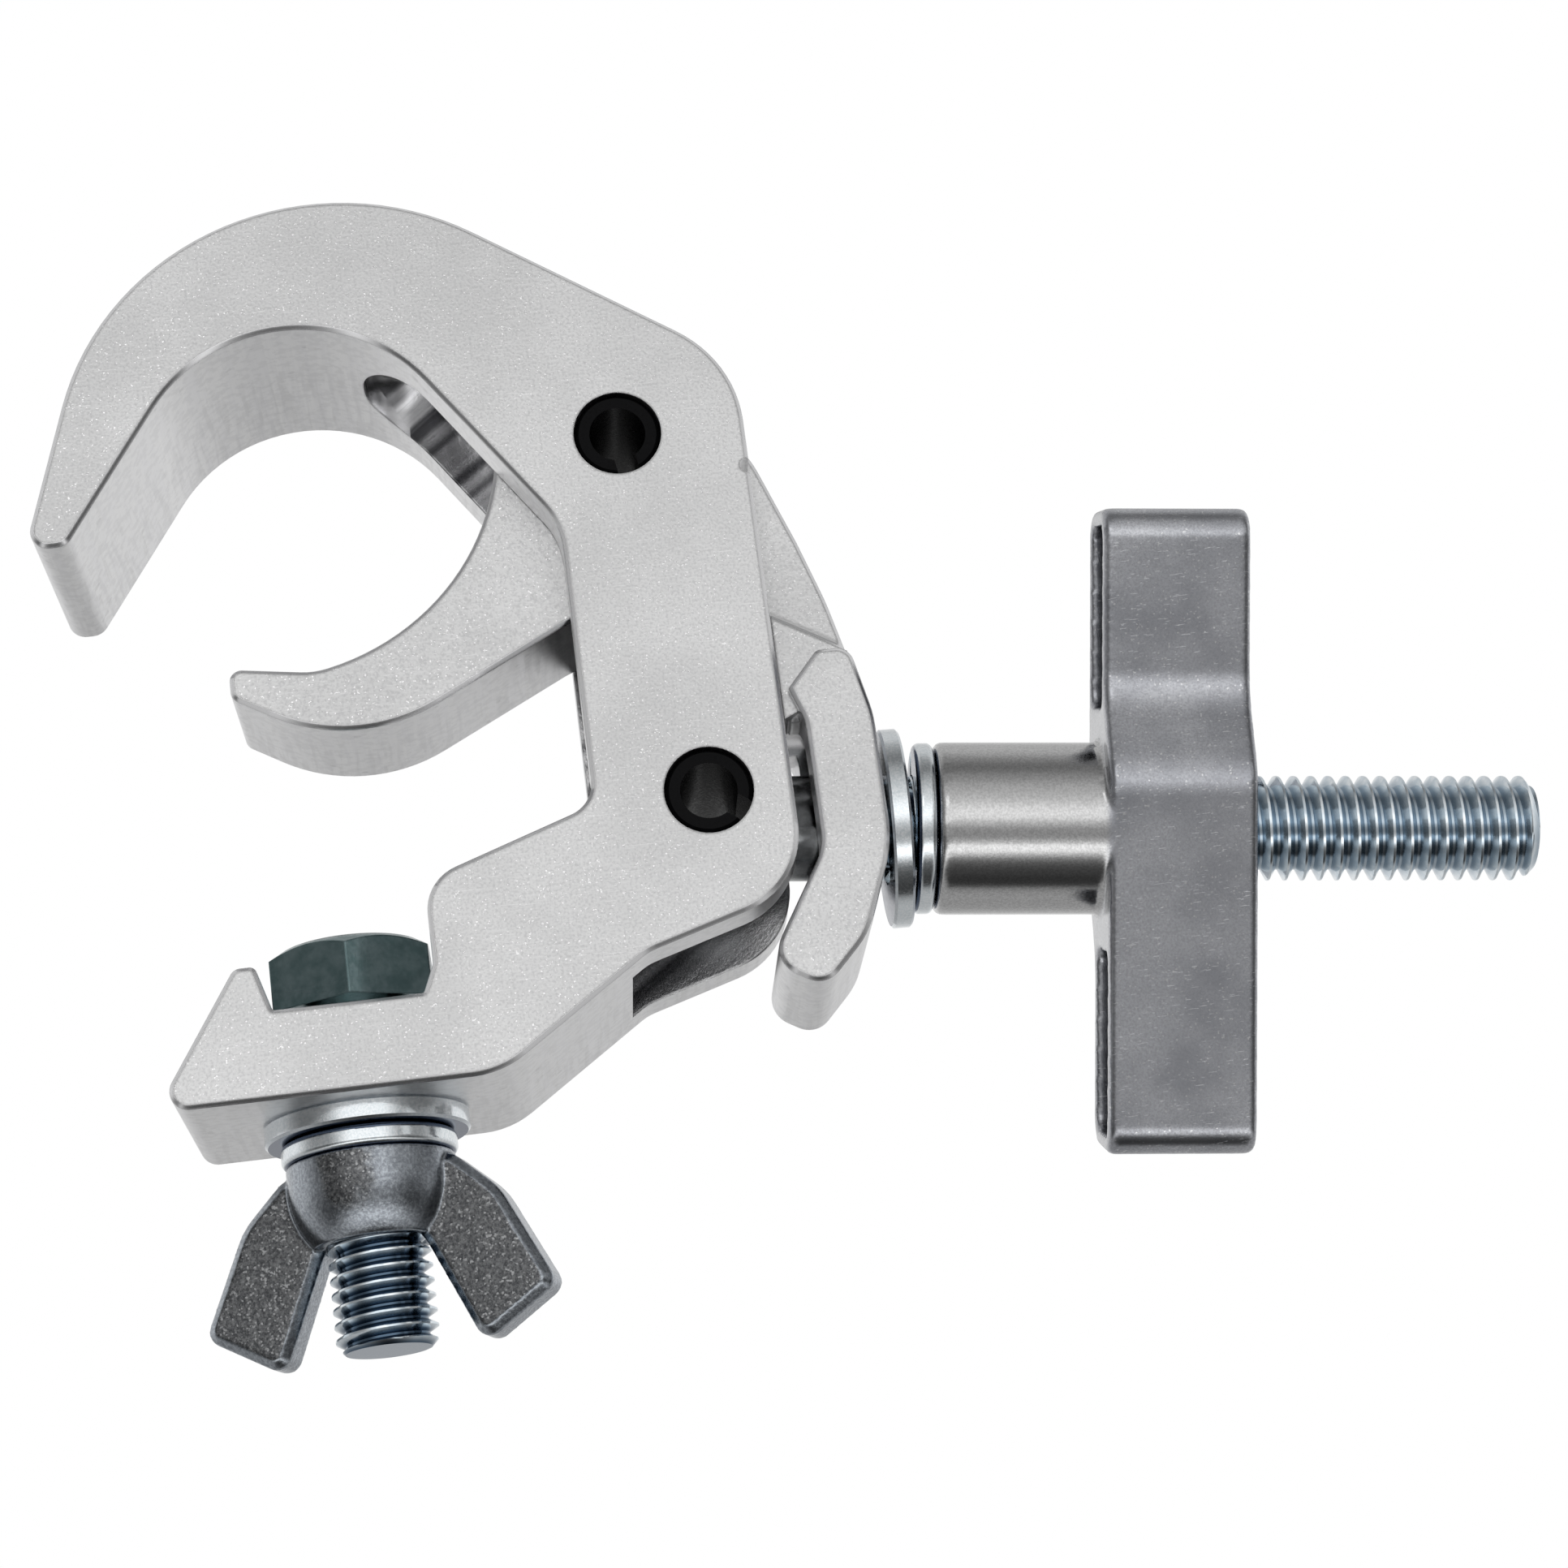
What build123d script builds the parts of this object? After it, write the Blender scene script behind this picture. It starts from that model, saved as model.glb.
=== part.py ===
from build123d import *
import math
import os

# A pipe clamp for hanging stage lights. An aluminium hook and a hinged jaw close round a
# horizontal tube, a swinging eye bolt with a long wing knob pulls the jaw shut, and a bolt
# held in the foot carries the load below.
#
# Frame, in millimetres: the origin is the centre of a seated tube, +Y runs along the tube,
# +Z is up, and the mounting bolt hangs down the Z axis. Everything is drawn with the jaw
# closed as far as it goes.

os.makedirs("parts", exist_ok=True)

# --- Driving dimensions ---------------------------------------------------------------
TUBE_R = 48.3 / 2  # nominal scaffold tube
BODY_W = 32.0  # width of the hook along the tube
SLOT_W = 19.6  # slot milled through the hook for jaw and swing bolt
JAW_W = 19.1  # jaw inside the slot
FACET_W = 21.8  # first step of the jaw outside the slot
TAIL_W = 25.2  # tail block that the swing bolt pulls on
EDGE = 0.5  # chamfer along the outlines of the extrusions

# Hook
SEAT_TILT = 35.0  # degrees, normals of the two seat flats above horizontal
CROWN_R = 19.9  # inner radius between the seat flats
SPINE_IN = 30.35  # inner face of the spine
SPINE_OUT = 53.6  # outer face of the spine
FOOT_Z = -66.7  # underside of the foot
CHANNEL_Z = -56.35  # floor of the bolt channel

# Pivots
PIVOT_X, PIVOT_Z = 38.4, 9.4  # jaw pivot
SWING_X, SWING_Z = 43.8, -36.2  # swing bolt pivot
SWING_TILT = 6.68  # degrees, swing bolt below horizontal
PIN_R = 5.25  # slotted spring pins
PIN_WALL = 1.9
PIN_GAP = 2.6
PIN_L = 31.2
PIN_BEVEL = 1.0
PIVOT_PLAY = 0.05  # radial clearance of the turning fits

# Jaw
JAW_ARC_R = 28.6  # curve of the jaw's seat
STEP_FILLET = 1.3  # concave, where the first step leaves the tongue
BOSS_R = 11.5  # tongue round the jaw pivot
SLOT_BOSS_R = 12.3  # slot round that tongue
BOLT_HOLE_W = 13.6  # oblong hole through the tail block
BOLT_HOLE_H = 20.5
BOLT_HOLE_RISE = 1.75  # centre of the hole above the bolt axis

# Swing bolt, in distances from its pivot
SWING_R = 12.7 / 2
EYE_R = 10.4
EYE_W = 14.0
SWING_END = 100.0
SWING_WASHER = (21.35, 23.75)
SWING_WASHER_TILT = 4.6  # degrees, the washer lies against the tail block
SWING_SPRING = (24.75, 27.15)

# Wing knob, along the swing bolt
KNOB_START = 27.25
KNOB_HUB_R = 10.4
WING_IN, WING_OUT = 47.4, 65.2
WING_HALF = 38.6
BLADE_T = 14.4
KNOB_ROLL = 19.0  # degrees, how the wings stand at rest

# Mounting hardware, M12 down the Z axis
BOLT_R = 6.0
HEX_AF = 18.6
HEAD_H = 7.5
HEAD_CROWN = 1.4  # height of the chamfer round the top of the head
HEAD_Z = -54.0  # underside of the head, wedged in the channel walls
BOLT_END = -94.0
WASHER_R, WASHER_BORE, WASHER_T = 12.0, 6.6, 2.5
SPRING_R, SPRING_BORE, SPRING_T = 10.3, 6.3, 2.6
SPRING_GAP = 1.6
THREAD_PLAY = 0.06  # radial clearance of nut and knob on their bolts
NUT_H = 9.8
NUT_RIM_H = 2.6  # straight part of the barrel below the washer
NUT_BASE_R, NUT_TOP_R = 9.9, 7.4
NUT_WING_T = 5.8
NUT_TURN = 15.0  # degrees, how the ears stand at rest


# --- Helpers --------------------------------------------------------------------------
def prism(corners, width):
    """Extrude an XZ outline of (x, z, corner radius) to a width centred on y = 0."""
    points = [(x, z) for x, z, _ in corners]
    radii = [radius for _, _, radius in corners]
    face = Plane.XZ * make_face(FilletPolyline(*points, radius=radii, close=True))
    return extrude(face, amount=width / 2, both=True)


def cross_pin(x, z, radius, width):
    """Cylinder along Y, centred on y = 0."""
    return Pos(x, 0, z) * Rot(90, 0, 0) * Cylinder(radius, width)


def rod(radius, start, end):
    """Cylinder along X."""
    return Pos((start + end) / 2, 0, 0) * Rot(0, 90, 0) * Cylinder(radius, end - start)


def post(radius, low, high):
    """Cylinder along Z about the mounting bolt's axis."""
    return Pos(0, 0, (low + high) / 2) * Cylinder(radius, high - low)


def ease_sides(solid, size=EDGE):
    """Chamfer the outlines of the two faces that look along Y."""
    sides = solid.faces().filter_by(Axis.Y).group_by(Axis.Y)
    return chamfer(sides[0].edges() + sides[-1].edges(), size)


def in_swing_frame(solid):
    """Move a solid drawn along +X from the origin onto the swing bolt's axis."""
    return Pos(SWING_X, 0, SWING_Z) * Rot(0, SWING_TILT, 0) * solid


# --- Hook body ------------------------------------------------------------------------
def make_hook_body():
    """Hook, spine and foot in one extrusion, with the milled slot and the drilled holes."""
    rise = math.radians(SEAT_TILT)
    apex_z = TUBE_R / math.sin(rise)  # where the two seat flats would meet
    flat_end_z = (TUBE_R - SPINE_IN * math.cos(rise)) / math.sin(rise)
    tip_z = 2.5
    tip_x = -(TUBE_R - tip_z * math.sin(rise)) / math.cos(rise)
    shoulder_slope = 0.335
    channel_x = 9.95
    shoulder_z = -36.3
    hook = prism(
        [
            (-32.6, tip_z, 2.2),
            (tip_x, tip_z, 2.2),
            (0, apex_z, CROWN_R),
            (SPINE_IN, flat_end_z, 10),
            (SPINE_IN, shoulder_z, 4),
            (channel_x, shoulder_z - shoulder_slope * (SPINE_IN - channel_x), 5.5),
            (channel_x, -53.1, 1.5),
            (8.6, CHANNEL_Z, 0.4),
            (-8.6, CHANNEL_Z, 0.4),
            (-10.2, -51.0, 0.9),
            (-12.6, -51.0, 1.4),
            (-22.8, FOOT_Z, 2.2),
            (16.5, FOOT_Z, 11),
            (34.6, -54.6, 6),
            (SPINE_OUT, -49.0, 10.3),
            (SPINE_OUT, 17.5, 15.2),
            (-13.3, 63.2, 33.5),
        ],
        BODY_W,
    )
    hook = ease_sides(hook)
    hook -= cross_pin(SPINE_OUT - 0.3, 3.6, 0.9, BODY_W)
    slot = prism(
        [
            (6, 30.2, 0),
            (14.8, 29.9, 6),
            (26.7, 13.2, 0),
            (PIVOT_X, PIVOT_Z, 0),
            (46.3, 18.8, 0),
            (60, 16.0, 0),
            (60, -75, 0),
            (32.7, -75, 0),
            (32.7, -57, 0),
            (30.1, -35, 3),
            (6, -34.5, 0),
        ],
        SLOT_W,
    )
    slot += cross_pin(PIVOT_X, PIVOT_Z, SLOT_BOSS_R, SLOT_W)
    run_out = Pos(8.5, 0, 0) * Box(80, SLOT_W, 150, align=(Align.MIN, Align.CENTER, Align.CENTER))
    run_out = fillet(run_out.edges().filter_by(Axis.Z).group_by(Axis.X)[0], SLOT_W / 2 - 0.8)
    hook -= slot & run_out
    for x, z in ((PIVOT_X, PIVOT_Z), (SWING_X, SWING_Z)):
        hook -= cross_pin(x, z, PIN_R, BODY_W + 2)
    hook -= post(BOLT_R + 0.5, FOOT_Z - 1, CHANNEL_Z + 1)
    return hook


def make_spring_pin(x, z, gap_angle):
    """Slotted spring pin pressed through both cheeks; gap_angle turns the slit about Y."""
    pin = Cylinder(PIN_R, PIN_L)
    pin = chamfer(pin.edges().filter_by(GeomType.CIRCLE), PIN_BEVEL * 0.9, PIN_BEVEL * 0.6)
    pin -= Cylinder(PIN_R - PIN_WALL, PIN_L + 1)
    pin -= Box(PIN_R * 2, PIN_GAP, PIN_L + 1, align=(Align.MIN, Align.CENTER, Align.CENTER))
    return Pos(x, 0, z) * Rot(0, gap_angle, 0) * Rot(90, 0, 0) * pin


# --- Jaw ------------------------------------------------------------------------------
def make_clamp_jaw():
    """Claw, tongue in the slot, stepped tail and the block that the swing bolt pulls on."""
    arm = prism(
        [
            (-0.6, -14.2, 9),
            (-10.6, -12.7, 1.4),
            (-10.6, -16.4, 1.4),
            (3.4, -24.8, 20.8),
            (29.5, -11.8, 10),
            (43.5, -6.5, 6),
            (53.5, -20.5, 5),
            (54.9, -27, 0),
            (60, -27, 0),
            (62.7, -19.5, 0),
            (61.0, -12.2, 40),
            (58.5, -4.3, 40),
            (54.4, 7.0, 12),
            (45.5, 18.4, 4),
            (PIVOT_X, PIVOT_Z, 0),
            (27.4, 12.4, 0),
            (23.6, 10.7, 1.0),
            (20.2, -9.8, JAW_ARC_R),
        ],
        JAW_W,
    )
    arm += cross_pin(PIVOT_X, PIVOT_Z, BOSS_R, JAW_W)
    arm = ease_sides(arm)
    facet = prism([(54.1, -14.3, 0), (62.6, -19.4, 0), (61, -24, 0), (54.1, -27, 0)], FACET_W)
    block = prism(
        [
            (58.8, -19.3, 1.0),
            (62.7, -19.3, 2.2),
            (64.5, -28, 14),
            (64.5, -44.0, 16),
            (60.2, -54.6, 9),
            (54.6, -60.3, 3.0),
            (48.4, -56.6, 3.4),
            (56.4, -43.6, 7),
            (56.4, -28, 5),
            (54.9, -23.7, 0.5),
        ],
        TAIL_W,
    )
    step = arm + facet
    for side in (1, -1):
        root = step.edges().sort_by_distance((58, side * JAW_W / 2, -16.6))[0]
        step = fillet(root, STEP_FILLET)
    jaw = step + ease_sides(block)
    jaw -= cross_pin(PIVOT_X, PIVOT_Z, PIN_R + PIVOT_PLAY, JAW_W + 2)
    hole = SlotOverall(BOLT_HOLE_H, BOLT_HOLE_W, rotation=90)
    hole = Pos(8, 0, BOLT_HOLE_RISE) * extrude(Plane.YZ * hole, amount=20)
    return jaw - in_swing_frame(hole)


# --- Swing bolt group -----------------------------------------------------------------
def make_swing_bolt():
    """Eye bolt on the lower pin; the thread is drawn as a plain shank of its major size."""
    shank = chamfer(rod(SWING_R, 0, SWING_END).edges().filter_by(GeomType.CIRCLE).sort_by(Axis.X)[-1], 1.2)
    eye = cross_pin(0, 0, EYE_R, EYE_W)
    eye = chamfer(eye.edges().filter_by(GeomType.CIRCLE), 0.8)
    bolt = shank + eye
    bolt -= cross_pin(0, 0, PIN_R + PIVOT_PLAY, EYE_W + 2)
    return in_swing_frame(bolt)


def make_swing_flat_washer():
    """Flat washer, tilted to lie against the face of the tail block."""
    start, end = SWING_WASHER
    ring = rod(WASHER_R, -(end - start) / 2, (end - start) / 2)
    ring = chamfer(ring.edges().filter_by(GeomType.CIRCLE), 0.3)
    ring -= rod(WASHER_BORE + 0.15, -5, 5)
    return in_swing_frame(Pos((start + end) / 2, 0, 0) * Rot(0, -SWING_WASHER_TILT, 0) * ring)


def make_swing_spring_washer():
    """Split spring washer under the knob."""
    start, end = SWING_SPRING
    ring = rod(SPRING_R, start, end)
    ring = fillet(ring.edges().filter_by(GeomType.CIRCLE), 0.8)
    ring -= rod(SWING_R + 0.15, start - 1, end + 1)
    ring -= Pos((start + end) / 2, 0, SPRING_R) * Rot(0, 0, 20) * Box(8, SPRING_GAP, 12)
    return in_swing_frame(ring)


def make_wing_knob():
    """Long hub with two offset wings that are hollow on the side towards the clamp."""
    front, inner = KNOB_HUB_R, BLADE_T - KNOB_HUB_R
    section = [
        (-front, -WING_HALF, 3.6),
        (-front, 7.0, 9),
        (-inner, 16.5, 9),
        (-inner, WING_HALF, 3.6),
        (front, WING_HALF, 3.6),
        (front, -7.0, 9),
        (inner, -16.5, 9),
        (inner, -WING_HALF, 3.6),
    ]
    points = [(y, z) for y, z, _ in section]
    radii = [radius for _, _, radius in section]
    face = Plane.YZ * make_face(FilletPolyline(*points, radius=radii, close=True))
    wings = Pos(WING_IN, 0, 0) * extrude(face, amount=WING_OUT - WING_IN)
    wings = fillet(wings.faces().filter_by(Axis.X).edges(), 1.0)
    wall, pocket_in, pocket_out = 2.0, 14.5, WING_HALF - 2.0
    for side in (-1, 1):
        pocket = Box(12, BLADE_T - 2 * wall, pocket_out - pocket_in)
        pocket = fillet(pocket.edges().filter_by(Axis.X), 2.0)
        centre_y = side * (front + inner) / 2 - side * inner
        wings -= Pos(WING_IN + 5, centre_y, side * (pocket_in + pocket_out) / 2) * pocket
    hub = rod(KNOB_HUB_R, KNOB_START, WING_OUT - 4)
    hub = fillet(hub.edges().filter_by(GeomType.CIRCLE).sort_by(Axis.X)[0], 1.0)
    knob = wings + hub - rod(SWING_R + THREAD_PLAY, KNOB_START - 1, WING_OUT + 1)
    return in_swing_frame(Rot(KNOB_ROLL, 0, 0) * knob)


# --- Mounting group -------------------------------------------------------------------
def make_mounting_bolt():
    """Hex bolt with its head held in the foot's channel; plain shank of the major size."""
    head = extrude(RegularPolygon(HEX_AF / 2, 6, major_radius=False, rotation=30), amount=HEAD_H)
    corner_r = HEX_AF / math.sqrt(3)
    crown = post(corner_r, 0, HEAD_H - HEAD_CROWN)
    crown += Pos(0, 0, HEAD_H - HEAD_CROWN / 2) * Cone(corner_r, corner_r - 2.2, HEAD_CROWN)
    head = Pos(0, 0, HEAD_Z) * (head & crown)
    shank = post(BOLT_R, BOLT_END, HEAD_Z + 1)
    shank = chamfer(shank.edges().filter_by(GeomType.CIRCLE).sort_by(Axis.Z)[0], 1.0)
    return head + shank


def make_mounting_flat_washer():
    """Flat washer against the underside of the foot."""
    ring = post(WASHER_R, FOOT_Z - WASHER_T, FOOT_Z)
    ring = chamfer(ring.edges().filter_by(GeomType.CIRCLE), 0.3)
    return ring - post(WASHER_BORE, FOOT_Z - WASHER_T - 1, FOOT_Z + 1)


def make_mounting_spring_washer():
    """Split spring washer between the flat washer and the wing nut."""
    top = FOOT_Z - WASHER_T
    ring = post(SPRING_R, top - SPRING_T, top)
    ring = fillet(ring.edges().filter_by(GeomType.CIRCLE), 0.8)
    ring -= post(SPRING_BORE, top - SPRING_T - 1, top + 1)
    return ring - Rot(0, 0, 60) * Pos(SPRING_R, 0, top - SPRING_T / 2) * Rot(20, 0, 0) * Box(12, SPRING_GAP, 8)


def make_wing_nut():
    """Cast wing nut: a tapered barrel and two ears."""
    top = FOOT_Z - WASHER_T - SPRING_T
    cup = Polyline((0, top), (NUT_BASE_R, top), (NUT_BASE_R, top - NUT_RIM_H))
    cup += ThreePointArc(
        (NUT_BASE_R, top - NUT_RIM_H), (NUT_BASE_R - 0.7, top - 6.6), (NUT_TOP_R, top - NUT_H)
    )
    cup += Polyline((NUT_TOP_R, top - NUT_H), (0, top - NUT_H), (0, top))
    barrel = revolve(Plane.XZ * make_face(cup), Axis.Z)
    barrel = fillet(barrel.edges().filter_by(GeomType.CIRCLE).group_by(Axis.Z)[0], 0.6)
    ear = [
        (1, top - 1.2, 0),
        (10.2, top - 0.8, 2.5),
        (15.6, top - 5.8, 9),
        (21.3, top - 17.8, 1.8),
        (12.0, top - 23.4, 1.8),
        (5.7, top - 9.2, 3),
        (1, top - 9.2, 0),
    ]
    nut = barrel
    for side in (1, -1):
        corners = [(side * x, z, radius) for x, z, radius in ear]
        nut += ease_sides(prism(corners, NUT_WING_T), 1.0)
    nut -= post(BOLT_R + THREAD_PLAY, top - 30, top + 1)
    return Rot(0, 0, -NUT_TURN) * nut


# --- Export ---------------------------------------------------------------------------
PARTS = {
    "hook_body": make_hook_body(),
    "clamp_jaw": make_clamp_jaw(),
    "jaw_pivot_pin": make_spring_pin(PIVOT_X, PIVOT_Z, 80),
    "bolt_pivot_pin": make_spring_pin(SWING_X, SWING_Z, 35),
    "swing_bolt": make_swing_bolt(),
    "swing_flat_washer": make_swing_flat_washer(),
    "swing_spring_washer": make_swing_spring_washer(),
    "wing_knob": make_wing_knob(),
    "mounting_bolt": make_mounting_bolt(),
    "mounting_flat_washer": make_mounting_flat_washer(),
    "mounting_spring_washer": make_mounting_spring_washer(),
    "wing_nut": make_wing_nut(),
}

for node, solid in PARTS.items():
    export_step(solid, f"parts/{node}.step")
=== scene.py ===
import math

import bmesh
import bpy
from mathutils import Matrix, Vector

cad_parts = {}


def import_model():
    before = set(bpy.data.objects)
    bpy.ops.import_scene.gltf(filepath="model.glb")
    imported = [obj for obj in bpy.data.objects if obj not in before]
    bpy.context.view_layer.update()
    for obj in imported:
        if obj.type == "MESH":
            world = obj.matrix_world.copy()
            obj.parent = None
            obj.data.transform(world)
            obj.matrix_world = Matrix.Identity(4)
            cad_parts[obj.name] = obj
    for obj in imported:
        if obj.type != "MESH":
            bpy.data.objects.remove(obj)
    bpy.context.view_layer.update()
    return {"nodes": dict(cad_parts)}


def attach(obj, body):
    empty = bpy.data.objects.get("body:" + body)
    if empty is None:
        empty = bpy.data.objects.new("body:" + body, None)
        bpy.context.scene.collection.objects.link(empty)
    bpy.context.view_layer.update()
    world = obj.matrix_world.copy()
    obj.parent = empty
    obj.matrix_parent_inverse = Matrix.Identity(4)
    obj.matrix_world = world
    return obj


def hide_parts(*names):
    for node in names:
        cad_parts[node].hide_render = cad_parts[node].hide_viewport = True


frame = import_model()
nodes = frame["nodes"]
MM = 0.001

# --- Sizes that repeat the CAD model's, in millimetres --------------------------------
SWING_PIVOT = Vector((43.8, 0.0, -36.2))
SWING_TILT = math.radians(6.68)
# A bolt's thread: radius, pitch, where it starts on the CAD bolt, and the bolt's end. The swing
# bolt is measured from its pivot along its axis, the mounting bolt along Z.
SWING_R, SWING_PITCH, SWING_CUT, SWING_END = 6.35, 2.117, 19.0, 100.0
STUD_R, STUD_PITCH, STUD_CUT, STUD_END = 6.0, 1.75, -62.0, -94.0
EYE_END = SWING_CUT - 2.0  # the eye's darker zinc, partly painted shade, ends here
WING_START = 47.4  # from the swing bolt's pivot to the knob's wings
SEAT_R = 24.15  # from the tube's centre to the seat flats
SEAT_RISE = math.radians(35.0)
SLOT_HALF, SLOT_TOP, SLOT_START_X = 9.85, 31.0, 14.8
SLOT_SKIN = 7.0  # the slot's roof lies less than this beyond the seat flat
SLOT_MARGIN = 0.3
NUT_TURN = math.radians(15.0)

Y_AXIS, Z_AXIS = Vector((0.0, 1.0, 0.0)), Vector((0.0, 0.0, 1.0))
SEAT_NORMAL = Vector((math.cos(SEAT_RISE), 0.0, math.sin(SEAT_RISE)))
SLOT_RUN = Vector((0.580, 0.0, -0.815))
EAR_NORMAL = Vector((math.sin(NUT_TURN), math.cos(NUT_TURN), 0.0))
SWING_AXIS = Vector((math.cos(SWING_TILT), 0.0, -math.sin(SWING_TILT)))
SWING_FRAME = Matrix.Translation(SWING_PIVOT) @ Matrix.Rotation(SWING_TILT, 4, "Y")

# 60 degree thread: depth as a share of the pitch, and where its flanks start and end as shares
# of half a pitch
THREAD_DEPTH, THREAD_CREST, THREAD_ROOT = 0.63, 0.13, 0.86
THREAD_AROUND, THREAD_ROWS = 72, 14
WELD = 0.0004
CAD_WELD = 0.002

# --- Studio ---------------------------------------------------------------------------
FLOOR_Z = -0.50
FLOOR_HALF = 6.0
# Brightness in mirror reflections by the height of the direction, -1 down to 1 up
FRONT_LIGHT = (
    (-1.0, 0.04), (-0.974, 0.06), (-0.906, 0.13), (-0.857, 0.25), (-0.80, 0.60), (-0.74, 1.15),
    (-0.674, 1.40), (-0.60, 1.00), (-0.52, 0.50), (-0.41, 0.38), (-0.26, 0.50), (-0.12, 0.85),
    (0.0, 1.18), (0.08, 1.18), (0.20, 1.06), (0.39, 0.76), (0.565, 0.62), (0.725, 0.46),
    (0.86, 0.30), (0.96, 0.20), (1.0, 0.30),
)
BACK_LIGHT = (
    (-1.0, 0.05), (-0.99, 0.08), (-0.97, 0.30), (-0.90, 0.42), (-0.72, 0.42), (-0.50, 0.45),
    (-0.30, 0.54), (-0.10, 0.66), (0.0, 0.76), (0.30, 0.80), (0.73, 0.58), (0.94, 0.57),
    (1.0, 0.30),
)
SIDE_DIM = 0.25
SOFT_LIGHT = 0.85  # brightness for all light that is not a mirror reflection

CAMERA_PLACE = (0.0204, -0.4210, -0.1599)
CAMERA_RIGHT = Vector((0.99088, -0.03940, -0.12888))
CAMERA_UP = Vector((0.11149, -0.29759, 0.94816))
CAMERA_LENS, CAMERA_SENSOR = 83.85, 36.0


# --- Mesh helpers ---------------------------------------------------------------------
def add_object(name, mesh):
    obj = bpy.data.objects.new(name, mesh)
    bpy.context.scene.collection.objects.link(obj)
    return obj


def mesh_from(bm, name):
    """Write a bmesh in millimetres to a new smooth-shaded mesh in metres."""
    bm.transform(Matrix.Scale(MM, 4))
    bmesh.ops.recalc_face_normals(bm, faces=bm.faces)
    for face in bm.faces:
        face.smooth = True
    mesh = bpy.data.meshes.new(name)
    bm.to_mesh(mesh)
    bm.free()
    return mesh


def thread_profile(phase, major, pitch):
    """Radius of the thread at a phase of 0 to 1 along one pitch."""
    across = abs(phase - 0.5) * 2.0
    flank = min(max((across - THREAD_CREST) / (THREAD_ROOT - THREAD_CREST), 0.0), 1.0)
    return major - THREAD_DEPTH * pitch * flank


def add_thread(bm, start, end, major, pitch, lead_out, place):
    """Closed helical thread along +Z from start to end, chamfered at its far end."""
    rows = int((end - start) / pitch + 2) * THREAD_ROWS
    grid = []
    for row in range(rows + 1):
        ring = []
        for step in range(THREAD_AROUND):
            turn = step / THREAD_AROUND
            along = start - pitch + (row / THREAD_ROWS + turn) * pitch
            along = min(max(along, start), end)
            phase = ((along - start) / pitch - turn) % 1.0
            radius = thread_profile(phase, major, pitch)
            radius = min(radius, major - max(0.0, lead_out - (end - along)))
            angle = 2.0 * math.pi * turn
            point = Vector((radius * math.cos(angle), radius * math.sin(angle), along))
            ring.append(bm.verts.new(place @ point))
        grid.append(ring)
    for row in range(rows):
        for step in range(THREAD_AROUND):
            after = (step + 1) % THREAD_AROUND
            shift = THREAD_ROWS if after == 0 else 0
            low, high = min(row + shift, rows), min(row + 1 + shift, rows)
            corners = [grid[row][step], grid[low][after], grid[high][after], grid[row + 1][step]]
            unique = list(dict.fromkeys(corners))
            if len(unique) > 2:
                bm.faces.new(unique)


def cad_copy(node):
    """A bmesh of a CAD node, in millimetres, with its split vertices joined."""
    bm = bmesh.new()
    bm.from_mesh(nodes[node].data)
    bm.transform(Matrix.Scale(1.0 / MM, 4))
    bmesh.ops.remove_doubles(bm, verts=bm.verts, dist=CAD_WELD)
    return bm


def cut_and_cap(bm, point, normal):
    """Remove what lies beyond a plane and close the cut."""
    geometry = bm.verts[:] + bm.edges[:] + bm.faces[:]
    cut = bmesh.ops.bisect_plane(
        bm, geom=geometry, plane_co=point, plane_no=normal, clear_outer=True
    )
    rim = [item for item in cut["geom_cut"] if isinstance(item, bmesh.types.BMEdge)]
    bmesh.ops.edgeloop_fill(bm, edges=rim)


def weld(bm):
    """Join the thread's touching points and close its open end."""
    bmesh.ops.remove_doubles(bm, verts=bm.verts, dist=WELD)
    bmesh.ops.dissolve_degenerate(bm, edges=bm.edges, dist=WELD)
    rims = [edge for edge in bm.edges if edge.is_boundary]
    if rims:
        bmesh.ops.edgeloop_fill(bm, edges=rims)


def sharp_by_angle(obj, degrees):
    """Keep hard edges hard on a smooth-shaded mesh."""
    limit = math.radians(degrees)
    bm = bmesh.new()
    bm.from_mesh(obj.data)
    for edge in bm.edges:
        angle = edge.calc_face_angle(None)
        edge.smooth = angle is not None and angle < limit
    bm.to_mesh(obj.data)
    bm.free()


# --- Node helpers ---------------------------------------------------------------------
class Tree:
    """A short way to write a node tree."""

    def __init__(self, tree):
        self.tree = tree

    def add(self, kind, **settings):
        node = self.tree.nodes.new(kind)
        for key, value in settings.items():
            setattr(node, key, value)
        return node

    def link(self, source, target):
        self.tree.links.new(source, target)

    def feed(self, socket, value):
        """Give a socket a number, a colour or another node's output."""
        if isinstance(value, tuple):
            socket.default_value = (*value, 1.0)
        elif isinstance(value, (int, float)):
            socket.default_value = value
        else:
            self.link(value, socket)

    def math(self, operation, first, second=0.0):
        node = self.add("ShaderNodeMath", operation=operation)
        self.feed(node.inputs[0], first)
        self.feed(node.inputs[1], second)
        return node.outputs[0]

    def ramp(self, value, low, high, from_low=0.0, from_high=1.0):
        """Smooth step from low to high while value goes from from_low to from_high."""
        node = self.add("ShaderNodeMapRange", interpolation_type="SMOOTHSTEP")
        node.inputs["From Min"].default_value = from_low
        node.inputs["From Max"].default_value = from_high
        node.inputs["To Min"].default_value = low
        node.inputs["To Max"].default_value = high
        self.link(value, node.inputs["Value"])
        return node.outputs["Result"]

    def blend(self, factor, first, second):
        """Number between first and second by factor."""
        node = self.add("ShaderNodeMix", data_type="FLOAT")
        self.feed(node.inputs[0], factor)
        self.feed(node.inputs[2], first)
        self.feed(node.inputs[3], second)
        return node.outputs[0]


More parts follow.
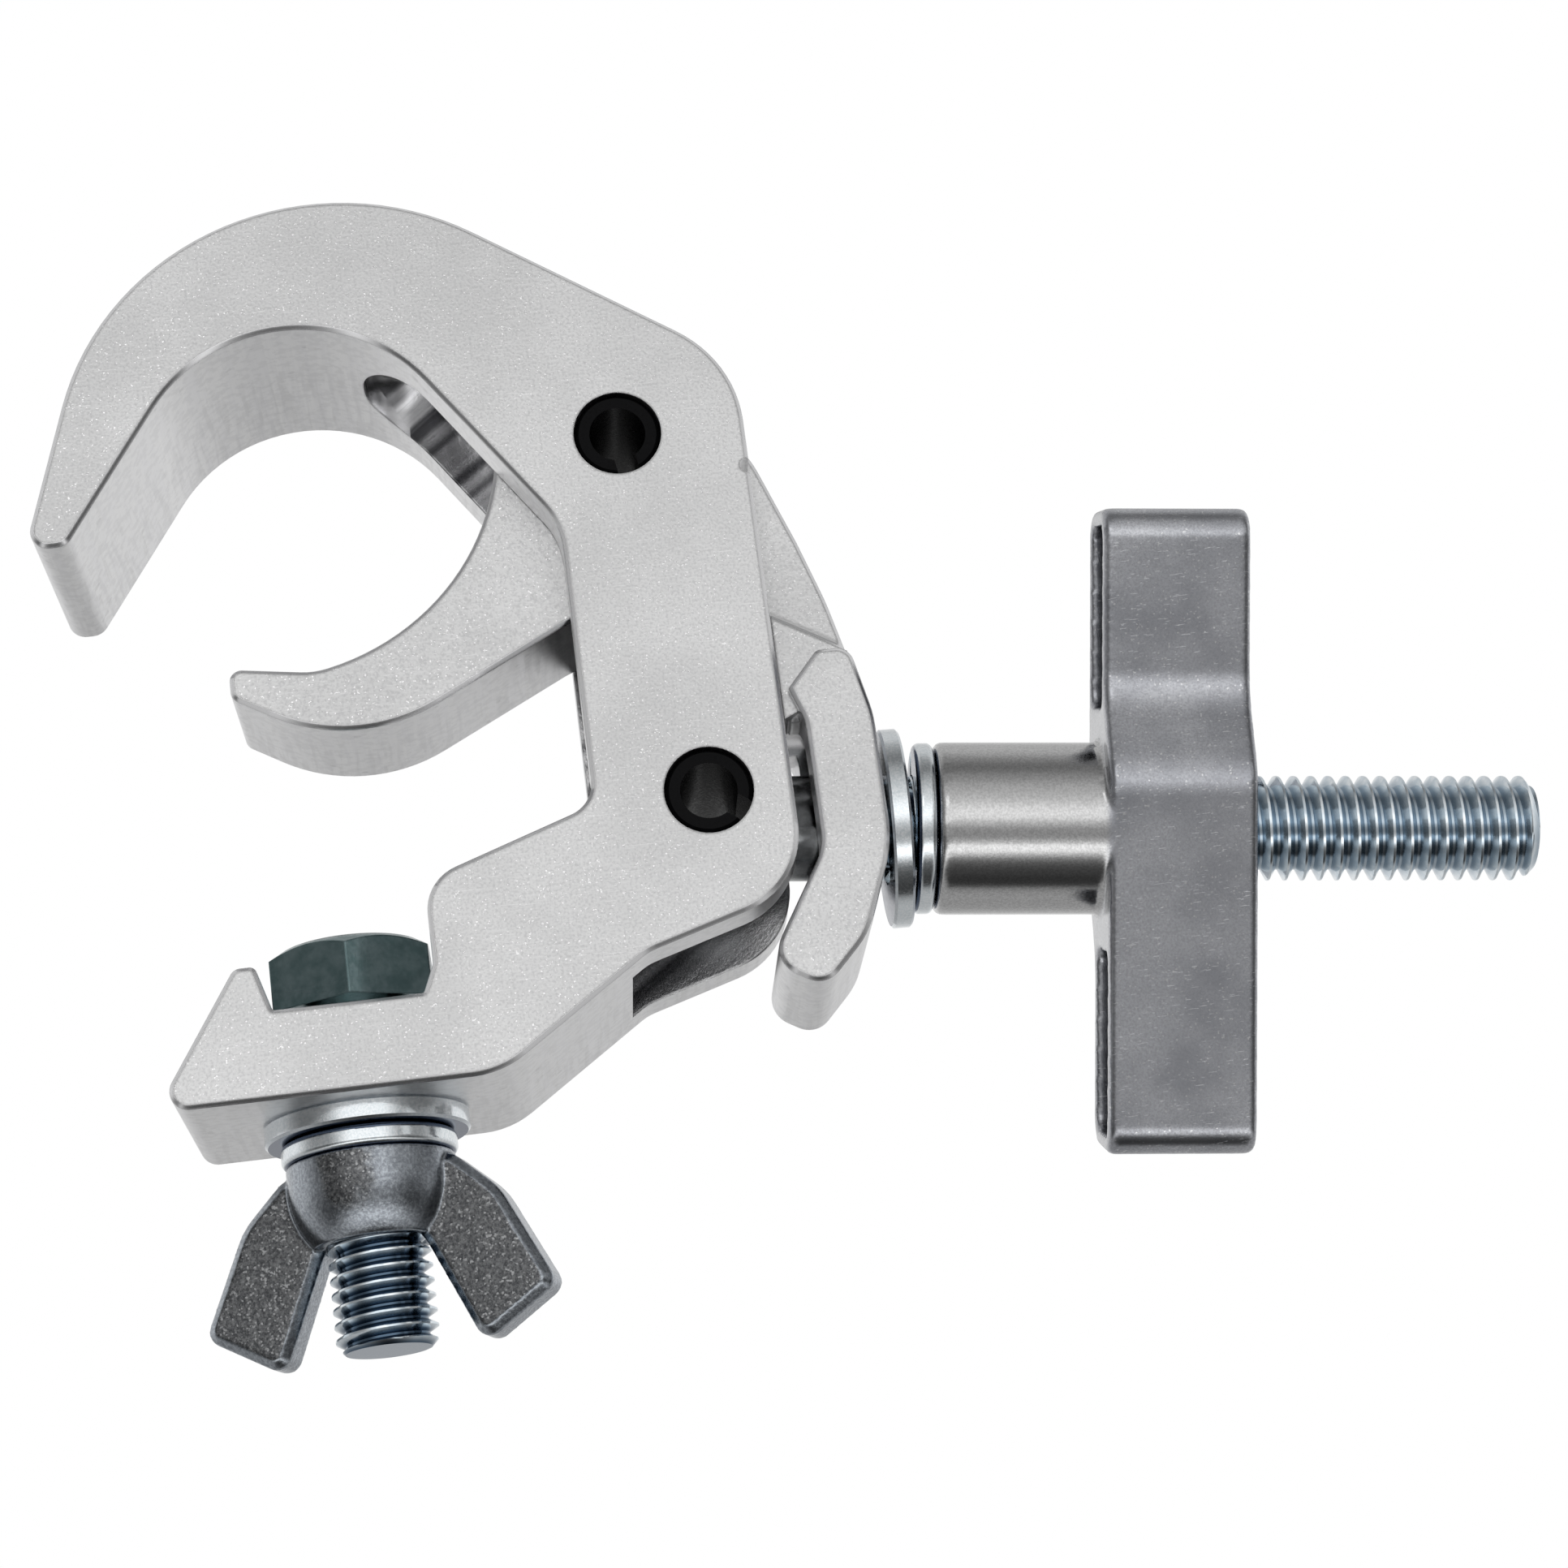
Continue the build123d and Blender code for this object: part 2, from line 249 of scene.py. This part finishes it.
class Graph(Tree):
    """A metal's node tree, in which coordinates are in millimetres."""

    def __init__(self, name):
        self.material = bpy.data.materials.new(name)
        self.material.use_nodes = True
        super().__init__(self.material.node_tree)
        self.shader = self.tree.nodes["Principled BSDF"]
        self.shader.inputs["Metallic"].default_value = 1.0
        self.coords = self.add("ShaderNodeTexCoord").outputs["Object"]

    def stretch(self, scale, angle=(0.0, 0.0, 0.0)):
        node = self.add("ShaderNodeMapping")
        node.inputs["Scale"].default_value = [value / MM for value in scale]
        node.inputs["Rotation"].default_value = angle
        self.link(self.coords, node.inputs["Vector"])
        return node.outputs[0]

    def noise(self, scale, detail=2.0, roughness=0.5, angle=(0.0, 0.0, 0.0)):
        """Noise with so many cells per millimetre along X, Y and Z."""
        node = self.add("ShaderNodeTexNoise")
        node.inputs["Scale"].default_value = 1.0
        node.inputs["Detail"].default_value = detail
        node.inputs["Roughness"].default_value = roughness
        scale = scale if isinstance(scale, tuple) else (scale, scale, scale)
        self.link(self.stretch(scale, angle), node.inputs["Vector"])
        return node.outputs["Fac"]

    def cells(self, scale):
        """One random value for each little cell."""
        node = self.add("ShaderNodeTexVoronoi")
        node.inputs["Scale"].default_value = 1.0
        self.link(self.stretch((scale, scale, scale)), node.inputs["Vector"])
        split = self.add("ShaderNodeSeparateColor")
        self.link(node.outputs["Color"], split.inputs[0])
        return split.outputs[0]

    def mix(self, factor, first, second):
        """Colour between first and second by factor."""
        node = self.add("ShaderNodeMix", data_type="RGBA")
        self.feed(node.inputs[0], factor)
        self.feed(node.inputs[6], first)
        self.feed(node.inputs[7], second)
        return node.outputs[2]

    def from_point(self, start, operation, direction):
        """Dot or cross product of a direction and the way from a point in millimetres."""
        offset = self.add("ShaderNodeVectorMath", operation="SUBTRACT")
        self.link(self.coords, offset.inputs[0])
        offset.inputs[1].default_value = start * MM
        product = self.add("ShaderNodeVectorMath", operation=operation)
        self.link(offset.outputs[0], product.inputs[0])
        product.inputs[1].default_value = direction / MM
        return product

    def along(self, start, direction):
        """Distance in millimetres from a point, along a direction."""
        return self.from_point(start, "DOT_PRODUCT", direction).outputs["Value"]

    def radial(self, start, direction):
        """Distance in millimetres from the axis through a point."""
        cross = self.from_point(start, "CROSS_PRODUCT", direction)
        length = self.add("ShaderNodeVectorMath", operation="LENGTH")
        self.link(cross.outputs[0], length.inputs[0])
        return length.outputs["Value"]

    def facing(self, direction):
        """How far the surface faces along a direction of the part, 0 to 1."""
        dot = self.add("ShaderNodeVectorMath", operation="DOT_PRODUCT")
        self.link(self.add("ShaderNodeTexCoord").outputs["Normal"], dot.inputs[0])
        dot.inputs[1].default_value = direction
        return self.math("ABSOLUTE", dot.outputs["Value"])

    def bands(self, value, scale, detail=2.0):
        """Noise that changes only with one value, so many cells per millimetre."""
        line = self.add("ShaderNodeCombineXYZ")
        self.link(self.math("MULTIPLY", value, scale), line.inputs[0])
        node = self.add("ShaderNodeTexNoise")
        node.inputs["Scale"].default_value = 1.0
        node.inputs["Detail"].default_value = detail
        self.link(line.outputs[0], node.inputs["Vector"])
        return node.outputs["Fac"]

    def rounded(self, radius):
        """Normal with the edges turned over by a radius in millimetres."""
        node = self.add("ShaderNodeBevel", samples=4)
        node.inputs["Radius"].default_value = radius * MM
        return node.outputs["Normal"]

    def bump(self, height, distance, strength=1.0, under=None):
        """Bump of a height in millimetres."""
        node = self.add("ShaderNodeBump")
        node.inputs["Strength"].default_value = strength
        node.inputs["Distance"].default_value = distance * MM
        self.link(height, node.inputs["Height"])
        if under is not None:
            self.link(under, node.inputs["Normal"])
        return node.outputs[0]

    def finish(self, color, rough, normal=None):
        self.link(color, self.shader.inputs["Base Color"])
        self.link(rough, self.shader.inputs["Roughness"])
        if normal is not None:
            self.link(normal, self.shader.inputs["Normal"])
        return self.material


def scratches(graph, density, angle, cells=0.25):
    """Thin lines in one direction, as a mask; fewer cells per millimetre make them longer."""
    fine = graph.noise((cells, cells, 9.0), 1.0, 0.5, angle)
    return graph.ramp(fine, 0.0, 1.0, density, density + 0.03)


# --- Materials ------------------------------------------------------------------------
def body_metal(name, slotted):
    """Blasted faces, bright thin chamfers, walls with faint die lines along Y, and on the hook
    painted reflections in the slot: dark and bright colour bands for its cutter marks."""
    g = Graph(name)
    facing = g.facing(Y_AXIS)
    wall = g.ramp(facing, 1.0, 0.0, 0.12, 0.35)
    face = g.ramp(facing, 0.0, 1.0, 0.90, 0.985)
    grain = g.noise(3.0, 3.0, 0.6)
    cloud = g.noise(0.05, 3.0, 0.6)
    glint = g.ramp(g.cells(5.5), 0.0, 1.0, 0.93, 0.99)
    streak = g.noise((1.1, 0.03, 1.1), 3.0, 0.6)
    speck = g.ramp(g.cells(1.4), 0.0, 1.0, 0.990, 0.998)
    marks = g.math(
        "MAXIMUM", scratches(g, 0.69, (0.0, 0.6, 0.3)), scratches(g, 0.70, (0.2, -0.9, 0.1))
    )
    face_color = g.mix(g.ramp(cloud, 0.0, 1.0, 0.3, 0.7), (0.72, 0.72, 0.72), (0.82, 0.82, 0.82))
    face_color = g.mix(g.ramp(grain, 0.0, 0.35, 0.45, 0.65), face_color, (0.52, 0.52, 0.53))
    face_color = g.mix(g.math("MULTIPLY", glint, 0.75), face_color, (0.97, 0.97, 0.97))
    face_color = g.mix(g.math("MULTIPLY", marks, 0.5), face_color, (0.95, 0.95, 0.95))
    wall_color = g.mix(g.ramp(streak, 0.0, 1.0, 0.3, 0.7), (0.83, 0.83, 0.84), (0.92, 0.92, 0.92))
    dull = g.ramp(g.noise(0.9, 2.0), 0.0, 0.30, 0.45, 0.60)
    wall_color = g.mix(dull, wall_color, (0.66, 0.66, 0.67))
    wall_color = g.mix(g.math("MULTIPLY", speck, 0.2), wall_color, (0.30, 0.30, 0.30))
    # Darker lines along Y on the walls, fading in from y = -7 mm to 1 mm, so only on the far half.
    far_wall_dark_lines = g.ramp(g.noise((1.3, 0.10, 1.3), 1.0), 0.0, 0.18, 0.48, 0.62)
    far_half = g.ramp(g.along(Vector(), Y_AXIS), 0.0, 1.0, -7.0, 1.0)
    wall_color = g.mix(g.math("MULTIPLY", far_wall_dark_lines, far_half), wall_color, (0.52, 0.52, 0.53))
    color = g.mix(face, (0.92, 0.92, 0.93), face_color)
    color = g.mix(wall, color, wall_color)
    face_rough = g.blend(glint, g.ramp(grain, 0.36, 0.48), 0.20)
    rough = g.blend(face, 0.13, face_rough)
    rough = g.blend(wall, rough, g.ramp(streak, 0.26, 0.42))
    height = g.math("ADD", grain, g.math("MULTIPLY", glint, 0.6))
    low = g.bump(g.math("MULTIPLY", height, face), 0.06, 0.6, g.rounded(0.45))
    normal = g.bump(g.math("MULTIPLY", streak, wall), 0.03, 0.5, low)
    if slotted:
        # The slot's colour is painted reflection: bands that stand in for what its wavy cutter
        # marks reflect.
        slot, painted_mill_reflection = slot_mask_and_painted_reflection(g, facing)
        color = g.mix(slot, color, painted_mill_reflection)
        rough = g.blend(slot, rough, 0.22)
    return g.finish(color, rough, normal)


def slot_mask_and_painted_reflection(g, facing):
    """Mask of the milled slot, and painted reflections for its cutter marks: dark and bright
    colour bands.
    """
    split = g.add("ShaderNodeSeparateXYZ")
    g.link(g.coords, split.inputs[0])
    y = g.math("MULTIPLY", g.math("ABSOLUTE", split.outputs["Y"]), 1.0 / MM)
    inside = g.math("LESS_THAN", y, SLOT_HALF)
    depth = g.along(Vector(), SEAT_NORMAL)
    past_seat = g.math("GREATER_THAN", depth, SEAT_R + SLOT_MARGIN)
    below_skin = g.math("LESS_THAN", depth, SEAT_R + SLOT_SKIN)
    below_top = g.math("LESS_THAN", g.along(Vector(), Z_AXIS), SLOT_TOP)
    roof = g.math("MULTIPLY", g.math("MULTIPLY", past_seat, below_skin), below_top)
    cheek = g.math("GREATER_THAN", facing, 0.9)
    slot = g.math("MULTIPLY", inside, g.math("MAXIMUM", roof, cheek))
    along = g.along(Vector((SLOT_START_X, 0.0, SLOT_TOP)), SLOT_RUN)
    bowed = g.math("ADD", along, g.math("MULTIPLY", g.math("MULTIPLY", y, y), 0.03))
    # Painted reflection: dark and bright bands along the slot, bowed across it.
    painted_reflection_bands = g.ramp(g.bands(bowed, 0.26, 1.0), 0.0, 1.0, 0.40, 0.54)
    fine = g.bands(bowed, 2.2, 3.0)
    painted_mill_reflection = g.mix(painted_reflection_bands, (0.14, 0.14, 0.15), (0.98, 0.98, 0.99))
    painted_mill_reflection = g.mix(g.ramp(fine, 0.0, 0.35, 0.4, 0.7), painted_mill_reflection, (0.45, 0.45, 0.46))
    entry = g.ramp(along, 0.0, 1.0, -1.5, 1.0)
    return slot, g.mix(entry, (0.85, 0.85, 0.85), painted_mill_reflection)


def knob_metal():
    """Tumbled casting on the wings, with fine nicks, and a turned and polished hub."""
    g = Graph("knob_tumbled_aluminium")
    out = g.along(SWING_PIVOT, SWING_AXIS)
    wings = g.ramp(out, 0.0, 1.0, WING_START - 0.6, WING_START + 0.4)
    cloud = g.noise(0.08, 3.0, 0.6)
    grain = g.noise(3.4, 4.0, 0.7)
    turned = g.noise((6.0, 0.3, 0.3), 2.0, 0.5, (0.0, SWING_TILT, 0.0))
    glint = g.math("MULTIPLY", g.ramp(g.cells(5.0), 0.0, 1.0, 0.955, 0.995), wings)
    marks = g.math(
        "MAXIMUM",
        scratches(g, 0.73, (0.0, 1.1, 0.4), 0.6),
        scratches(g, 0.73, (0.3, 0.2, 0.0), 0.6),
    )
    marks = g.math("MULTIPLY", marks, wings)
    color = g.mix(g.ramp(cloud, 0.0, 1.0, 0.3, 0.7), (0.39, 0.40, 0.43), (0.58, 0.59, 0.62))
    color = g.mix(g.ramp(grain, 0.0, 0.40, 0.42, 0.62), color, (0.26, 0.26, 0.28))
    hub_color = g.mix(g.ramp(grain, 0.0, 1.0, 0.35, 0.65), (0.66, 0.66, 0.66), (0.50, 0.50, 0.50))
    color = g.mix(wings, hub_color, color)
    color = g.mix(g.math("MULTIPLY", glint, 0.5), color, (0.90, 0.90, 0.90))
    color = g.mix(g.math("MULTIPLY", marks, 0.5), color, (0.88, 0.88, 0.88))
    rough = g.blend(glint, g.ramp(grain, 0.16, 0.30), 0.10)
    rough = g.blend(wings, g.ramp(turned, 0.08, 0.15), rough)
    height = g.math("ADD", grain, g.math("MULTIPLY", marks, 0.5))
    normal = g.bump(g.math("MULTIPLY", height, g.blend(wings, 0.55, 1.0)), 0.02, 0.5)
    return g.finish(color, rough, normal)


def zinc(name, dark, light, rough_low, rough_high):
    """Zinc plate with slight clouding."""
    g = Graph(name)
    cloud = g.noise(0.5, 3.0, 0.6)
    grain = g.noise(3.0, 3.0, 0.6)
    color = g.mix(g.ramp(cloud, 0.0, 1.0, 0.3, 0.7), dark, light)
    rough = g.ramp(grain, rough_low, rough_high, 0.3, 0.7)
    return g.finish(color, rough, g.bump(grain, 0.012, 0.4, g.rounded(0.35)))


def washer_zinc(name, axis):
    """Bright rim, and flats painted dark as painted shade for the dark reflections between the
    stacked washers.
    """
    g = Graph(name)
    flat = g.ramp(g.facing(axis), 0.0, 1.0, 0.60, 0.90)
    grain = g.noise(3.5, 3.0, 0.6)
    color = g.mix(g.ramp(grain, 0.0, 1.0, 0.3, 0.7), (0.74, 0.80, 0.83), (0.92, 0.95, 0.97))
    # Painted shade: the flats take a dark navy colour.
    color = g.mix(flat, color, (0.09, 0.115, 0.17))
    rough = g.ramp(grain, 0.08, 0.18, 0.3, 0.7)
    return g.finish(color, rough, g.bump(grain, 0.015, 0.4))


def thread_zinc(name, root_painted_shade, start, axis, major, pitch):
    """Bluish zinc, bright on the crests, and painted shade down in the roots: a darker colour
    there.
    """
    g = Graph(name)
    crest = g.ramp(g.radial(start, axis), 0.0, 1.0, major - 0.55 * pitch, major - 0.08 * pitch)
    cloud = g.noise(0.6, 3.0, 0.6)
    grain = g.noise(3.0, 3.0, 0.6)
    light = g.mix(g.ramp(cloud, 0.0, 1.0, 0.3, 0.7), (0.66, 0.75, 0.82), (0.90, 0.95, 0.98))
    # Painted shade: the roots take the darker colour.
    color = g.mix(crest, root_painted_shade, light)
    rough = g.ramp(grain, 0.07, 0.15, 0.3, 0.7)
    return g.finish(color, rough, g.bump(grain, 0.012, 0.4))


def nut_metal():
    """Zinc plated casting: grainy dark flats, everything else rubbed bright."""
    g = Graph("nut_rough_casting")
    grain = g.noise(2.6, 5.0, 0.75)
    patch = g.noise(0.35, 3.0, 0.6)
    glint = g.ramp(g.cells(4.5), 0.0, 1.0, 0.84, 0.97)
    uneven = g.math("ADD", g.facing(EAR_NORMAL), g.math("MULTIPLY", patch, 0.12))
    flat = g.ramp(uneven, 0.0, 1.0, 0.97, 1.03)
    cast = g.mix(g.ramp(grain, 0.0, 1.0, 0.38, 0.66), (0.075, 0.078, 0.083), (0.24, 0.245, 0.25))
    cast = g.mix(g.math("MULTIPLY", glint, 0.55), cast, (0.68, 0.69, 0.70))
    bright = g.mix(g.ramp(grain, 0.0, 1.0, 0.35, 0.7), (0.25, 0.27, 0.30), (0.52, 0.56, 0.60))
    color = g.mix(flat, bright, cast)
    rough = g.blend(flat, g.ramp(grain, 0.10, 0.20, 0.3, 0.7), g.ramp(grain, 0.24, 0.38, 0.3, 0.7))
    return g.finish(color, rough, g.bump(grain, 0.05, 0.5))


def black_oxide():
    g = Graph("pin_black_oxide")
    grain = g.noise(2.5, 4.0, 0.6)
    color = g.mix(grain, (0.002, 0.002, 0.002), (0.007, 0.007, 0.008))
    g.shader.inputs["Metallic"].default_value = 0.0
    g.shader.inputs["Specular IOR Level"].default_value = 0.05
    return g.finish(color, g.ramp(grain, 0.24, 0.40, 0.3, 0.7), g.bump(grain, 0.01, 0.4))


def paper():
    """Pale, plain floor."""
    g = Graph("pale_floor")
    fibre = g.noise(0.02, 3.0, 0.5)
    g.shader.inputs["Metallic"].default_value = 0.0
    color = g.mix(fibre, (0.83, 0.83, 0.83), (0.86, 0.86, 0.86))
    return g.finish(color, g.ramp(fibre, 0.7, 0.8))


# --- Pieces that replace CAD nodes ----------------------------------------------------
def threaded_swing_bolt():
    bm = cad_copy("swing_bolt")
    cut_and_cap(bm, SWING_PIVOT + SWING_AXIS * SWING_CUT, SWING_AXIS)
    place = SWING_FRAME @ Matrix.Rotation(math.radians(90.0), 4, "Y")
    add_thread(bm, SWING_CUT - 1.0, SWING_END, SWING_R, SWING_PITCH, 1.3, place)
    weld(bm)
    return add_object("swing_bolt_threaded", mesh_from(bm, "swing_bolt_threaded"))


def threaded_mounting_bolt():
    bm = cad_copy("mounting_bolt")
    cut_and_cap(bm, Z_AXIS * STUD_CUT, -Z_AXIS)
    place = Matrix.Rotation(math.pi, 4, "X")
    add_thread(bm, -STUD_CUT - 1.0, -STUD_END, STUD_R, STUD_PITCH, 1.0, place)
    weld(bm)
    return add_object("mounting_bolt_threaded", mesh_from(bm, "mounting_bolt_threaded"))


def softened(node, name, voxel, rounds):
    """A CAD node with its edges worn round, as a casting's are; voxel is in millimetres."""
    mesh = mesh_from(cad_copy(node), name)
    obj = add_object(name, mesh)
    remesh = obj.modifiers.new("remesh", "REMESH")
    remesh.mode = "VOXEL"
    remesh.voxel_size = voxel * MM
    smooth = obj.modifiers.new("smooth", "SMOOTH")
    smooth.factor = 0.5
    smooth.iterations = rounds
    graph = bpy.context.evaluated_depsgraph_get()
    final = bpy.data.meshes.new_from_object(obj.evaluated_get(graph))
    obj.modifiers.clear()
    obj.data = final
    for polygon in final.polygons:
        polygon.use_smooth = True
    return obj


# --- Build ----------------------------------------------------------------------------
hook_metal = body_metal("hook_satin_aluminium", True)
jaw_metal = body_metal("jaw_satin_aluminium", False)
knob = knob_metal()
# Each thread's first colour is painted shade for its roots.
swing_zinc = thread_zinc(
    "swing_bolt_zinc", (0.44, 0.52, 0.59), SWING_PIVOT, SWING_AXIS, SWING_R, SWING_PITCH
)
stud_zinc = thread_zinc(
    "mounting_bolt_zinc", (0.10, 0.15, 0.21), Vector(), Z_AXIS, STUD_R, STUD_PITCH
)
swing_washer = washer_zinc("swing_washer_zinc", SWING_AXIS)
stud_washer = washer_zinc("mounting_washer_zinc", Z_AXIS)
head = zinc("zinc_dull", (0.135, 0.21, 0.215), (0.23, 0.31, 0.32), 0.14, 0.25)
# The eye and shank's zinc is darker than their own grey as painted shade, so they read dark in the
# gap between hook and jaw.
eye = zinc("eye_zinc_painted_shade", (0.16, 0.165, 0.17), (0.30, 0.31, 0.315), 0.12, 0.22)
nut = nut_metal()
oxide = black_oxide()


def dress(obj, *materials):
    obj.data.materials.clear()
    for material in materials:
        obj.data.materials.append(material)


CAD_FINISH = {
    "hook_body": hook_metal,
    "clamp_jaw": jaw_metal,
    "jaw_pivot_pin": oxide,
    "bolt_pivot_pin": oxide,
    "swing_flat_washer": swing_washer,
    "swing_spring_washer": swing_washer,
    "mounting_flat_washer": stud_washer,
    "mounting_spring_washer": stud_washer,
}
for node_name, material in CAD_FINISH.items():
    for material_slot in nodes[node_name].material_slots:
        material_slot.material = material

swing_bolt = threaded_swing_bolt()
dress(swing_bolt, swing_zinc, eye)
for polygon in swing_bolt.data.polygons:
    if (polygon.center - SWING_PIVOT * MM).dot(SWING_AXIS) < EYE_END * MM:
        polygon.material_index = 1
sharp_by_angle(swing_bolt, degrees=45)
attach(swing_bolt, "swing")
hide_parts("swing_bolt")

mounting_bolt = threaded_mounting_bolt()
dress(mounting_bolt, stud_zinc, head)
for polygon in mounting_bolt.data.polygons:
    if polygon.center.z > STUD_CUT * MM:
        polygon.material_index = 1
sharp_by_angle(mounting_bolt, degrees=35)
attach(mounting_bolt, "hook")
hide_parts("mounting_bolt")

wing_knob = softened("wing_knob", "wing_knob_cast", voxel=0.40, rounds=6)
dress(wing_knob, knob)
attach(wing_knob, "knob")
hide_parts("wing_knob")

wing_nut = softened("wing_nut", "wing_nut_cast", voxel=0.25, rounds=4)
dress(wing_nut, nut)
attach(wing_nut, "nut")
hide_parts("wing_nut")


# --- Stage ----------------------------------------------------------------------------
def floor():
    bm = bmesh.new()
    bmesh.ops.create_grid(bm, x_segments=8, y_segments=8, size=FLOOR_HALF)
    bm.transform(Matrix.Translation((0.0, 0.0, FLOOR_Z)))
    mesh = bpy.data.meshes.new("floor")
    bm.to_mesh(mesh)
    bm.free()
    obj = add_object("floor", mesh)
    obj.data.materials.append(paper())
    obj.visible_glossy = False


def world():
    """Studio round the clamp: a bright lobe in front, dim sides, dark straight above and below.
    The camera sees plain white, and light that is not a mirror reflection is a plain grey."""
    sky = bpy.data.worlds.new("room")
    bpy.context.scene.world = sky
    sky.use_nodes = True
    g = Tree(sky.node_tree)
    way = g.add("ShaderNodeSeparateXYZ")
    g.link(g.add("ShaderNodeTexCoord").outputs["Generated"], way.inputs[0])
    height = g.math("MULTIPLY", g.math("ADD", way.outputs["Z"], 1.0), 0.5)

    def by_height(stops):
        """Brightness at each height; the curve holds half of it, because it ends at 1."""
        curve = g.add("ShaderNodeFloatCurve")
        points = curve.mapping.curves[0].points
        while len(points) < len(stops):
            points.new(0.5, 0.5)
        for point, (place, value) in zip(points, stops):
            point.location = ((place + 1.0) / 2.0, value / 2.0)
        curve.mapping.update()
        g.link(height, curve.inputs["Value"])
        return g.math("MULTIPLY", curve.outputs[0], 2.0)

    side = g.ramp(g.math("ABSOLUTE", way.outputs["X"]), 1.0, SIDE_DIM, 0.30, 0.80)
    front = g.math("MULTIPLY", by_height(FRONT_LIGHT), side)
    behind = g.ramp(way.outputs["Y"], 0.0, 1.0, -0.30, 0.35)
    mirrored = g.blend(behind, front, by_height(BACK_LIGHT))
    rays = g.add("ShaderNodeLightPath")
    light = g.blend(rays.outputs["Is Glossy Ray"], SOFT_LIGHT, mirrored)
    seen = g.blend(rays.outputs["Is Camera Ray"], light, 1.0)
    g.link(seen, g.tree.nodes["Background"].inputs["Color"])


def area_light(name, place, aim, size, power):
    lamp = bpy.data.lights.new(name, "AREA")
    lamp.shape = "RECTANGLE"
    lamp.size, lamp.size_y = size
    lamp.energy = power
    obj = add_object(name, lamp)
    obj.location = place
    obj.rotation_euler = (Vector(aim) - Vector(place)).to_track_quat("-Z", "Y").to_euler()
    obj.visible_camera = False


def camera():
    """Telephoto from below and left of the knob, rolled so that the swing bolt lies level."""
    data = bpy.data.cameras.new("camera")
    data.lens, data.sensor_width = CAMERA_LENS, CAMERA_SENSOR
    data.clip_start, data.clip_end = 0.01, 50.0
    obj = add_object("camera", data)
    back = CAMERA_RIGHT.cross(CAMERA_UP)
    turn = Matrix((CAMERA_RIGHT, CAMERA_UP, back)).transposed()
    obj.matrix_world = Matrix.Translation(CAMERA_PLACE) @ turn.to_4x4()
    bpy.context.scene.camera = obj


floor()
world()
area_light("key", place=(-0.15, -0.80, 0.30), aim=(0.02, 0.0, 0.0), size=(0.30, 0.20), power=0.10)
area_light("fill", place=(0.60, -0.45, 0.15), aim=(0.05, 0.0, 0.0), size=(0.15, 0.30), power=0.05)
camera()
bpy.context.scene.view_settings.view_transform = "Standard"
